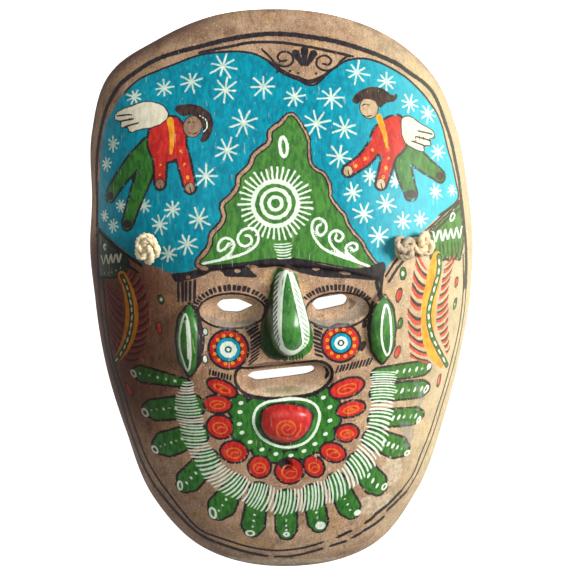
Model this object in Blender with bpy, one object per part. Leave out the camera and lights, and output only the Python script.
"""A painted clay mask lying face up on its rim, with the cotton cord that it hangs by.

Metres. +Z is out of the mask's front, +Y towards its top and +X to the viewer's right.
The origin is under the middle of the mask's box, on the surface that the rim rests on.
"""
import math

import bmesh
import bpy
import numpy as np
from mathutils import Matrix, Vector

# The shell
WIDTH = 0.224
HEIGHT = 0.330
DEPTH = 0.060
WALL = 0.009
RIM_ROUND = 0.0025

# The rim's outline as a hand made it, a little uneven: shares of half the width and half the height,
# from the viewer's right over the top and round
OUTLINE = [
    (0.986, 0.0), (1.0, 0.194), (0.974, 0.381), (0.908, 0.573), (0.806, 0.751), (0.590, 0.899),
    (0.306, 0.977), (0.0, 1.0), (-0.308, 0.982), (-0.600, 0.908), (-0.850, 0.788), (-0.940, 0.590),
    (-0.967, 0.374), (-1.0, 0.193), (-0.981, 0.0), (-0.935, -0.229), (-0.842, -0.475),
    (-0.699, -0.724), (-0.446, -0.923), (0.0, -1.0), (0.444, -0.925), (0.686, -0.715),
    (0.832, -0.473), (0.928, -0.229),
]

# How the dome curves from its crown to the rim: steep at the sides, leaning at the top and the chin
CURVE_SIDE = (2.2, 2.2)
CURVE_TOP = (2.0, 1.25)
CURVE_CHIN = (2.2, 1.65)

# Raised forms: middle, half length along Y, half width, rise above the dome, turn in degrees
NOSE_AT, NOSE_LONG, NOSE_WIDE, NOSE_RISE = (0.0030, 0.0010), 0.0255, 0.0135, 0.0165
EAR_LONG, EAR_WIDE, EAR_RISE = 0.0208, 0.0084, 0.0070
LEFT_EAR_AT, RIGHT_EAR_AT = (-0.0527, -0.0157), (0.0555, -0.0110)
LEFT_EAR_TURN, RIGHT_EAR_TURN = 2.0, 0.0
KNOB_AT, KNOB_LONG, KNOB_WIDE, KNOB_RISE = (0.0006, -0.0640), 0.0112, 0.0150, 0.0070

# The trough under the brow: its deepest line follows the brow, and it runs out below the eyes
BROW_TOP = 0.0270
BROW_BOW = 0.0016
BROW_LEAN = 0.04
BROW_BOW_SPAN = 0.025
TROUGH_FROM, TROUGH_TO = -0.049, 0.055
TROUGH_DEEP = 0.0042
TROUGH_LONG = 0.028

# Sunk forms: middle, half width, half height, and what they leave of the wall at their deepest
LEFT_EYE_AT, LEFT_EYE_WIDE, LEFT_EYE_HIGH = (-0.0275, 0.0020), 0.0182, 0.0086
RIGHT_EYE_AT, RIGHT_EYE_WIDE, RIGHT_EYE_HIGH = (0.0323, 0.0024), 0.0180, 0.0084
EYE_FLOOR = 0.0026
MOUTH_AT, MOUTH_WIDE, MOUTH_HIGH, MOUTH_FLOOR = (0.0003, -0.0384), 0.0270, 0.0106, 0.0024
DIMPLE_AT, DIMPLE_WIDE, DIMPLE_DEEP = (0.0001, -0.0890), 0.0034, 0.0026

# Slits right through the wall: corners in order round each, and how far their corners are rounded
LEFT_SLIT = [(-0.0362, 0.0040), (-0.0330, 0.0074), (-0.0250, 0.0078), (-0.0165, 0.0036), (-0.0245, -0.0002),
             (-0.0330, 0.0002)]
RIGHT_SLIT = [(0.0163, 0.0040), (0.0190, 0.0072), (0.0340, 0.0088), (0.0366, 0.0062), (0.0350, 0.0022),
              (0.0190, -0.0006)]
MOUTH_SLIT = [(-0.0205, -0.0376), (-0.0170, -0.0342), (0.0165, -0.0312), (0.0176, -0.0352), (0.0130, -0.0372),
              (-0.0150, -0.0408)]
SLIT_ROUND = 0.0016

# The hanging cord, its holes and its knots
CORD = 0.0040
HOLE_CLEARANCE = 0.0010
GAP = 0.0003
LEFT_HOLE, RIGHT_HOLE = (-0.0736, 0.0368), (0.0708, 0.0350)
KNOT_WIDE, KNOT_HIGH, KNOT_THICK = 0.0072, 0.0088, 0.0056
PAIR_WIDE, PAIR_HIGH, PAIR_THICK = 0.0122, 0.0072, 0.0056
PAIR_OFFSET = 0.0012
KNOT_SEAT = 0.75
# The cord's way between the two holes: it drops from each and lies slack on the surface under the mask
CORD_ROUTE = [
    (-0.0664, 0.0330, 0.0340), (-0.0650, 0.0320, 0.0250), (-0.0640, 0.0300, 0.0160),
    (-0.0600, 0.0270, 0.0075), (-0.0520, 0.0230, 0.0030), (-0.0420, 0.0180, 0.0022),
    (-0.0300, 0.0130, 0.0022), (-0.0170, 0.0110, 0.0022), (-0.0040, 0.0130, 0.0022),
    (0.0090, 0.0170, 0.0022), (0.0220, 0.0190, 0.0022), (0.0350, 0.0170, 0.0022),
    (0.0460, 0.0170, 0.0030), (0.0550, 0.0210, 0.0075), (0.0600, 0.0265, 0.0160),
    (0.0622, 0.0300, 0.0250), (0.0636, 0.0315, 0.0340),
]

# How finely the forms are cut
DOME_ROUND, DOME_RINGS = 64, 16
BACK_ROUND, BACK_RINGS = 64, 10
FORM_ROUND, FORM_RINGS = 20, 14
CORD_STEP = 0.0095
CORD_SIDES = 3

CLAY = (0.38, 0.22, 0.14)
COTTON = (0.74, 0.66, 0.50)
DUSTY_COTTON = (0.45, 0.36, 0.25)


def clear_scene():
    """Removes what the file opens with."""
    for thing in list(bpy.data.objects):
        bpy.data.objects.remove(thing, do_unlink=True)


def material(name, colour, roughness):
    """A plain finish of one colour."""
    made = bpy.data.materials.new(name)
    made.use_nodes = True
    shader = made.node_tree.nodes["Principled BSDF"]
    shader.inputs["Base Color"].default_value = (*colour, 1.0)
    shader.inputs["Roughness"].default_value = roughness
    shader.inputs["Metallic"].default_value = 0.0
    return made


def object_from(name, shape, finish=None):
    """Turns a bmesh into a named object, with its faces pointing outwards."""
    bmesh.ops.recalc_face_normals(shape, faces=shape.faces)
    mesh = bpy.data.meshes.new(name)
    shape.to_mesh(mesh)
    shape.free()
    made = bpy.data.objects.new(name, mesh)
    bpy.context.scene.collection.objects.link(made)
    if finish:
        mesh.materials.append(finish)
    return made


def ring_of_reaches(inset):
    """The outline's points as angles and distances from the middle, a wall's inset taken off."""
    points = [Vector((u * WIDTH / 2, v * HEIGHT / 2)) for u, v in OUTLINE]
    ring = []
    for point in points:
        angle = math.atan2(point.y, point.x) % (2 * math.pi)
        ring.append((angle, point.length - inset))
    return sorted(ring)


def reach(angle, ring):
    """Distance from the middle to the outline along an angle, on a smooth closed curve."""
    count = len(ring)
    turn = 2 * math.pi
    angle %= turn
    k = max((i for i in range(count) if ring[i][0] <= angle), default=count - 1)

    def at(step):
        """The ring's point some steps on, with its angle unwrapped."""
        laps, i = divmod(k + step, count)
        return ring[i][0] + laps * turn, ring[i][1]

    (a0, r0), (a1, r1), (a2, r2), (a3, r3) = at(-1), at(0), at(1), at(2)
    if angle < a1:
        angle += turn
    span = a2 - a1
    t = (angle - a1) / span
    slope_1 = (r2 - r0) / (a2 - a0) * span
    slope_2 = (r3 - r1) / (a3 - a1) * span
    return ((2 * t**3 - 3 * t**2 + 1) * r1 + (t**3 - 2 * t**2 + t) * slope_1
            + (3 * t**2 - 2 * t**3) * r2 + (t**3 - t**2) * slope_2)


def curve_at(angle):
    """The dome's two powers in a direction, blended between sides, top and chin."""
    side = math.cos(angle) ** 2
    top = max(math.sin(angle), 0.0) ** 2
    chin = max(-math.sin(angle), 0.0) ** 2
    return [side * s + top * t + chin * c for s, t, c in zip(CURVE_SIDE, CURVE_TOP, CURVE_CHIN)]


def height_at(share, angle, depth):
    """The dome's height at a share of the way from its crown to the rim."""
    bend, fall = curve_at(angle)
    return depth * max(0.0, 1.0 - min(share, 1.0) ** bend) ** (1.0 / fall)


OUTER = ring_of_reaches(0.0)
INNER = ring_of_reaches(WALL)


def dome(x, y, ring=OUTER, depth=DEPTH):
    """Height of the dome over a point of the plan."""
    angle = math.atan2(y, x)
    return height_at(math.hypot(x, y) / reach(angle, ring), angle, depth)


def dome_normal(x, y):
    """The way out of the dome's surface over a point of the plan."""
    step = WALL / 9
    across = (dome(x + step, y) - dome(x - step, y)) / (2 * step)
    along = (dome(x, y + step) - dome(x, y - step)) / (2 * step)
    return Vector((-across, -along, 1.0)).normalized()


def half_dome(ring, depth, around, rings):
    """The upper half of a ball, pulled out to the outline and the dome's height."""
    ball = bmesh.new()
    bmesh.ops.create_uvsphere(ball, u_segments=around, v_segments=2 * rings, radius=1.0)
    geometry = ball.verts[:] + ball.edges[:] + ball.faces[:]
    bmesh.ops.bisect_plane(ball, geom=geometry, plane_co=(0, 0, 0), plane_no=(0, 0, -1), clear_outer=True)
    for vertex in ball.verts:
        angle = math.atan2(vertex.co.y, vertex.co.x)
        share = min(1.0, math.hypot(vertex.co.x, vertex.co.y))
        far = share * reach(angle, ring)
        level = height_at(share, angle, depth) if vertex.co.z > 1e-5 else 0.0
        vertex.co = (far * math.cos(angle), far * math.sin(angle), level)
    return ball


def shell(finish):
    """The mask's wall: an outer and an inner dome joined round a flat rim with a rounded outer edge."""
    wall = half_dome(OUTER, DEPTH, DOME_ROUND, DOME_RINGS)
    outer_edge = [edge for edge in wall.edges if edge.is_boundary]
    inner = half_dome(INNER, DEPTH - WALL, BACK_ROUND, BACK_RINGS)
    bmesh.ops.reverse_faces(inner, faces=inner.faces)
    carried = bpy.data.meshes.new("inner")
    inner.to_mesh(carried)
    inner.free()
    wall.from_mesh(carried)
    bpy.data.meshes.remove(carried)
    open_edges = [edge for edge in wall.edges if edge.is_boundary]
    bmesh.ops.bridge_loops(wall, edges=open_edges)
    rim = [edge for edge in outer_edge if edge.is_valid]
    bmesh.ops.bevel(wall, geom=rim, offset=RIM_ROUND, segments=2, profile=0.5, affect="EDGES",
                    material=-1, clamp_overlap=True)
    return object_from("mask", wall, finish)


def leaf(t, _):
    """An even leaf: full in the middle, narrowing to both ends."""
    return (1 - t * t) ** 0.62


def drop(t, rising):
    """A drop hanging from the brow: narrow and low at the top, full near its lower end."""
    body = (1 - t * t) ** 0.5
    narrow = 0.40 if not rising else 0.20
    return body * (narrow + (1 - narrow) * min(1.0, max(0.0, (0.95 - t) / 1.25)) ** 1.15)


def pick(t, _):
    """A rounded pick, broad and flat at the top and round at the bottom."""
    return (1 - abs(t) ** 3.2) ** 0.5 if t > 0 else (1 - t * t) ** 0.55


def bowl(t, _):
    """A plain ellipse."""
    return math.sqrt(max(0.0, 1 - t * t))


def stadium(t, _):
    """An ellipse with its ends filled out."""
    return (1 - t**4) ** 0.5 if abs(t) < 1 else 0.0


def form(name, at, long, wide, up, down, outline, turn=0.0):
    """A closed form that follows the dome: a ball drawn out along Y, up above the dome and down into it."""
    ball = bmesh.new()
    bmesh.ops.create_uvsphere(ball, u_segments=FORM_ROUND, v_segments=FORM_RINGS, radius=1.0,
                              matrix=Matrix.Rotation(-math.pi / 2, 4, "X"))
    spin = Matrix.Rotation(math.radians(turn), 2)
    for vertex in ball.verts:
        t = max(-0.9999, min(0.9999, vertex.co.y))
        round_x, round_z = Vector((vertex.co.x, vertex.co.z)) / math.sqrt(1 - t * t)
        place = Vector(at) + spin @ Vector((round_x * wide * outline(t, False), t * long))
        lift = round_z * (up if round_z > 0 else down) * outline(t, True)
        vertex.co = (place.x, place.y, dome(place.x, place.y) + lift)
    return object_from(name, ball)


def brow_line(x):
    """Where the brow's edge runs over a place across the face."""
    return BROW_TOP - BROW_BOW * (x / BROW_BOW_SPAN) ** 2 - BROW_LEAN * x


def trough():
    """The cutter that sinks the face under the brow: a sheet laid as the trough's floor, drawn upwards."""
    sheet = bmesh.new()
    bmesh.ops.create_grid(sheet, x_segments=20, y_segments=6, size=1.0)
    middle, half = (TROUGH_FROM + TROUGH_TO) / 2, (TROUGH_TO - TROUGH_FROM) / 2
    clear = 0.0012
    for vertex in sheet.verts:
        across, down = vertex.co.x, (1 - vertex.co.y) / 2
        x = middle + across * half
        y = brow_line(x) - down * TROUGH_LONG
        ends = (1 - across**4) * (1 - down) ** 0.8
        vertex.co = (x, y, dome(x, y) + clear - (TROUGH_DEEP + clear) * ends)
    drawn = bmesh.ops.extrude_face_region(sheet, geom=sheet.faces[:])
    tops = [part for part in drawn["geom"] if isinstance(part, bmesh.types.BMVert)]
    bmesh.ops.translate(sheet, verts=tops, vec=(0, 0, DEPTH / 3))
    return object_from("trough", sheet)


def slit(name, corners):
    """A cutter right through the wall, with rounded corners."""
    plate = bmesh.new()
    ring = [plate.verts.new((x, y, DEPTH / 3)) for x, y in corners]
    face = plate.faces.new(ring)
    bmesh.ops.bevel(plate, geom=ring, offset=SLIT_ROUND, segments=2, profile=0.5, affect="VERTICES",
                    material=-1, clamp_overlap=True)
    drawn = bmesh.ops.extrude_face_region(plate, geom=plate.faces[:])
    tops = [part for part in drawn["geom"] if isinstance(part, bmesh.types.BMVert)]
    bmesh.ops.translate(plate, verts=tops, vec=(0, 0, DEPTH))
    return object_from(name, plate)


def hole(name, at):
    """A round cutter through the wall, square to the dome, for the cord."""
    out = dome_normal(*at)
    middle = Vector((*at, dome(*at))) - out * WALL / 2
    drill = bmesh.new()
    bmesh.ops.create_cone(drill, cap_ends=True, segments=12, radius1=CORD / 2 + HOLE_CLEARANCE,
                          radius2=CORD / 2 + HOLE_CLEARANCE, depth=4 * WALL,
                          matrix=Matrix.Translation(middle) @ facing(out).to_4x4())
    return object_from(name, drill)


def combine(target, other, operation):
    """Joins a form to the mask or takes it away, and leaves it out of the model."""
    step = target.modifiers.new(other.name, "BOOLEAN")
    step.operation = operation
    step.solver = "EXACT"
    step.object = other
    other.hide_render = True
    other.display_type = "WIRE"


def mask(finish):
    """The clay body, one piece: shell, raised forms, sunk forms, slits and the cord's holes."""
    body = shell(finish)
    sink = WALL * 0.6
    combine(body, trough(), "DIFFERENCE")
    raised = [
        form("nose", NOSE_AT, NOSE_LONG, NOSE_WIDE, NOSE_RISE, sink, drop),
        form("left_ear", LEFT_EAR_AT, EAR_LONG, EAR_WIDE, EAR_RISE, sink, leaf, LEFT_EAR_TURN),
        form("right_ear", RIGHT_EAR_AT, EAR_LONG, EAR_WIDE, EAR_RISE, sink, leaf, RIGHT_EAR_TURN),
        form("chin_knob", KNOB_AT, KNOB_LONG, KNOB_WIDE, KNOB_RISE, sink, pick),
    ]
    sunk = [
        form("left_eye", LEFT_EYE_AT, LEFT_EYE_HIGH, LEFT_EYE_WIDE, WALL, WALL - EYE_FLOOR, bowl),
        form("right_eye", RIGHT_EYE_AT, RIGHT_EYE_HIGH, RIGHT_EYE_WIDE, WALL, WALL - EYE_FLOOR, bowl),
        form("mouth", MOUTH_AT, MOUTH_HIGH, MOUTH_WIDE, WALL, WALL - MOUTH_FLOOR, stadium, 1.0),
        form("dimple", DIMPLE_AT, DIMPLE_WIDE, DIMPLE_WIDE, WALL, DIMPLE_DEEP, bowl),
        slit("left_slit", LEFT_SLIT),
        slit("right_slit", RIGHT_SLIT),
        slit("mouth_slit", MOUTH_SLIT),
        hole("left_hole", LEFT_HOLE),
        hole("right_hole", RIGHT_HOLE),
    ]
    for boss in raised:
        combine(body, boss, "UNION")
    for cutter in sunk:
        combine(body, cutter, "DIFFERENCE")
    return body


def on_dome(at, away):
    """A point a distance out of the dome's surface, square to it."""
    return Vector((*at, dome(*at))) + dome_normal(*at) * away


def lumps(direction, strength):
    """How far a knot's turns swell or sink in a direction."""
    x, y, z = direction
    return 1 + strength * (math.sin(5.2 * x + 3.1 * y) * math.cos(4.3 * y - 2.0 * z) + 0.4 * math.sin(7 * z + 4 * x))


def facing(out):
    """Axes for something that sits on the dome: its X stays across the face and its Z points out."""
    across = Vector((0, 1, 0)).cross(out).normalized()
    return Matrix((across, out.cross(across), out)).transposed()


def knot(name, at, wide, high, thick, finish, waist=0.0, turn=0.0):
    """A pulled-tight knot on the mask's face, over its hole, flat against the clay."""
    ball = bmesh.new()
    bmesh.ops.create_icosphere(ball, subdivisions=3, radius=1.0)
    frame = facing(dome_normal(*at)) @ Matrix.Rotation(math.radians(turn), 3, "Z")
    middle = on_dome(at, thick * KNOT_SEAT)
    for vertex in ball.verts:
        way = vertex.co.normalized()
        swell = lumps(way, 0.10) * (1 - waist * math.exp(-(way.x / 0.35) ** 2))
        local = Vector((way.x * wide * lumps(way, 0.05), way.y * high * swell, way.z * thick * swell))
        place = middle + frame @ local
        floor = dome(place.x, place.y) + GAP * 2
        vertex.co = (place.x, place.y, max(place.z, floor))
    return object_from(name, ball, finish)


def smooth_points(route, spacing):
    """Points at even spacing on a smooth curve through the route."""
    route = [Vector(point) for point in route]
    ends = [2 * route[0] - route[1]] + route + [2 * route[-1] - route[-2]]
    fine = []
    for k in range(1, len(ends) - 2):
        p0, p1, p2, p3 = ends[k - 1:k + 3]
        for step in range(24):
            t = step / 24
            fine.append(0.5 * (2 * p1 + (p2 - p0) * t + (2 * p0 - 5 * p1 + 4 * p2 - p3) * t * t
                               + (3 * p1 - p0 - 3 * p2 + p3) * t**3))
    fine.append(route[-1])
    lengths = [0.0]
    for a, b in zip(fine, fine[1:]):
        lengths.append(lengths[-1] + (b - a).length)
    count = max(2, round(lengths[-1] / spacing))
    wanted = np.linspace(0.0, lengths[-1], count + 1)
    columns = [np.interp(wanted, lengths, [point[axis] for point in fine]) for axis in range(3)]
    return list(zip(*columns))


def cord(finish):
    """The slack cord from knot to knot, through both holes and over the surface under the mask."""
    inside = WALL + CORD
    left = [on_dome(LEFT_HOLE, -GAP), on_dome(LEFT_HOLE, -inside)]
    right = [on_dome(RIGHT_HOLE, -inside), on_dome(RIGHT_HOLE, -GAP)]
    line = bpy.data.curves.new("hanging_cord", "CURVE")
    line.dimensions = "3D"
    line.bevel_depth = CORD / 2
    line.bevel_resolution = CORD_SIDES
    line.use_fill_caps = True
    points = smooth_points(left + CORD_ROUTE + right, CORD_STEP)
    strand = line.splines.new("POLY")
    strand.points.add(len(points) - 1)
    for point, place in zip(strand.points, points):
        point.co = (*place, 1.0)
    line.materials.append(finish)
    made = bpy.data.objects.new("hanging_cord", line)
    bpy.context.scene.collection.objects.link(made)
    return made


def build():
    """The whole mask."""
    clear_scene()
    clay = material("painted_clay", CLAY, 0.7)
    cotton = material("cotton", COTTON, 0.9)
    dusty = material("dusty_cotton", DUSTY_COTTON, 0.9)
    mask(clay)
    cord(cotton)
    knot("knot_left", LEFT_HOLE, KNOT_WIDE, KNOT_HIGH, KNOT_THICK, cotton)
    pair_at = (RIGHT_HOLE[0] + PAIR_OFFSET, RIGHT_HOLE[1])
    knot("knot_right", pair_at, PAIR_WIDE, PAIR_HIGH, PAIR_THICK, dusty, waist=0.3, turn=8.0)


build()
